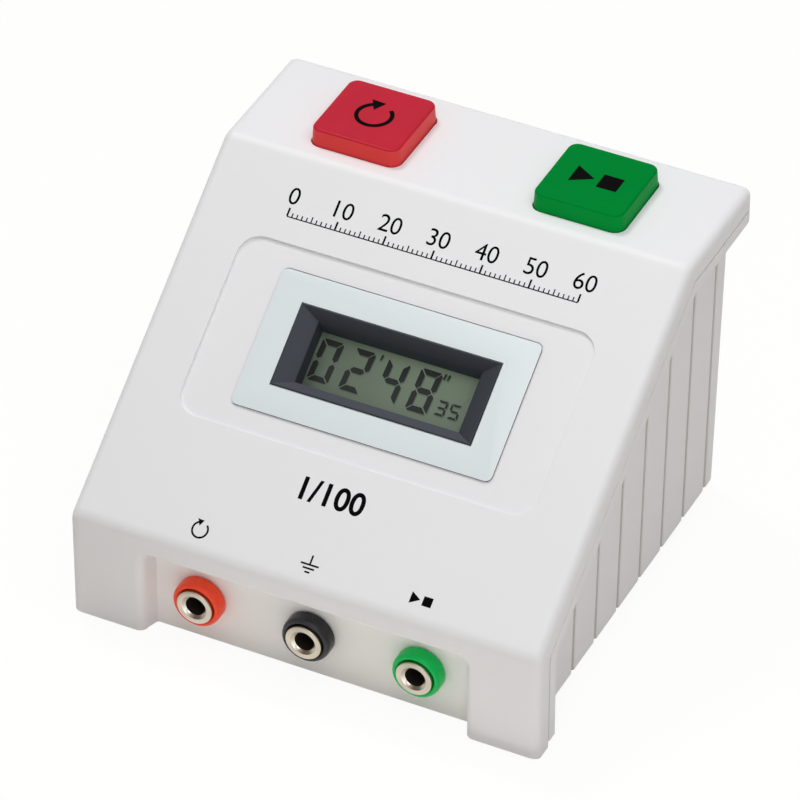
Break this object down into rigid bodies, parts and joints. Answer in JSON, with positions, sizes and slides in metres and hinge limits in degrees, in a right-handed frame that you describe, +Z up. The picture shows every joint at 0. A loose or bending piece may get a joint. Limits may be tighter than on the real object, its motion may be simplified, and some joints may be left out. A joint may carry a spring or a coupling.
{
  "type": "bench stop-clock",
  "caption": "Sloping-front desk case with a recessed liquid crystal display, square push buttons on the rear deck and colour-coded 4 mm sockets in a front niche.",
  "frame": {"origin": "on the floor plane, under the centre of the case's bounding box", "axes": "+X to the right of a person facing the display, +Y to the back, +Z up"},
  "size_m": [0.1, 0.095, 0.0762],
  "materials": {
    "white_abs": "fine satin",
    "pale_plate": "satin",
    "black_plastic": "satin",
    "red_cap": "soft gloss",
    "green_cap": "soft gloss",
    "red_collar": "soft gloss",
    "black_collar": "soft gloss",
    "green_collar": "soft gloss",
    "nickel_plate": "nickel plated",
    "tinned_brass": "tinned",
    "steel": "zinc plated",
    "display_glass": "matt polariser over glass",
    "grey_rubber": "matt",
    "green_board": "solder mask",
    "epoxy": "glossy resin",
    "cell_wrapper": "printed sleeve; aluminium gives a cell's weight"
  },
  "bodies": {
    "case": {"top_cover": "white_abs", "base_tray": "white_abs", "display_plate": "pale_plate", "button_board_lead": "pale_plate", "display_bezel": "black_plastic", "module_frame": "black_plastic", "battery_holder": "black_plastic", "battery_positive_lead": "red_cap", "reset_socket_collar": "red_collar", "reset_socket_washer": "red_collar", "reset_socket_lead": "red_collar", "common_socket_collar": "black_collar", "common_socket_washer": "black_collar", "common_socket_lead": "black_collar", "battery_negative_lead": "black_collar", "reset_switch_body": "black_collar", "start_switch_body": "black_collar", "start_socket_collar": "green_collar", "start_socket_washer": "green_collar", "start_socket_lead": "green_collar", "reset_socket_sleeve": "nickel_plate", "reset_socket_nut": "nickel_plate", "common_socket_sleeve": "nickel_plate", "common_socket_nut": "nickel_plate", "start_socket_sleeve": "nickel_plate", "start_socket_nut": "nickel_plate", "reset_socket_tag": "tinned_brass", "common_socket_tag": "tinned_brass", "start_socket_tag": "tinned_brass", "case_screw_front_left": "steel", "case_screw_front_right": "steel", "case_screw_rear_left": "steel", "case_screw_rear_right": "steel", "button_board_screw_left": "steel", "button_board_screw_right": "steel", "button_board_screw_rear": "steel", "module_screw_left": "steel", "module_screw_right": "steel", "reset_spring": "steel", "start_spring": "steel", "battery_spring": "steel", "battery_contact": "steel", "crystal_can": "steel", "lcd_glass": "display_glass", "rubber_foot_front_left": "grey_rubber", "rubber_foot_front_right": "grey_rubber", "rubber_foot_rear_left": "grey_rubber", "rubber_foot_rear_right": "grey_rubber", "zebra_strip_upper": "grey_rubber", "zebra_strip_lower": "grey_rubber", "module_board": "green_board", "button_board": "green_board", "chip_cover": "epoxy", "battery_cell": "cell_wrapper"},
    "reset_button": {"reset_cap": "red_cap", "reset_plunger": "black_collar"},
    "start_button": {"start_cap": "green_cap", "start_plunger": "black_collar"}
  },
  "joints": [
    {"name": "reset_press", "type": "slide", "parent": "case", "child": "reset_button", "axis": [0, 0, -1], "range_m": [0, 0.002], "stiffness_N_per_m": 300, "springref_m": -0.004, "deforming": ["reset_spring"]},
    {"name": "start_press", "type": "slide", "parent": "case", "child": "start_button", "axis": [0, 0, -1], "range_m": [0, 0.002], "stiffness_N_per_m": 300, "springref_m": -0.004, "deforming": ["start_spring"]}
  ]
}
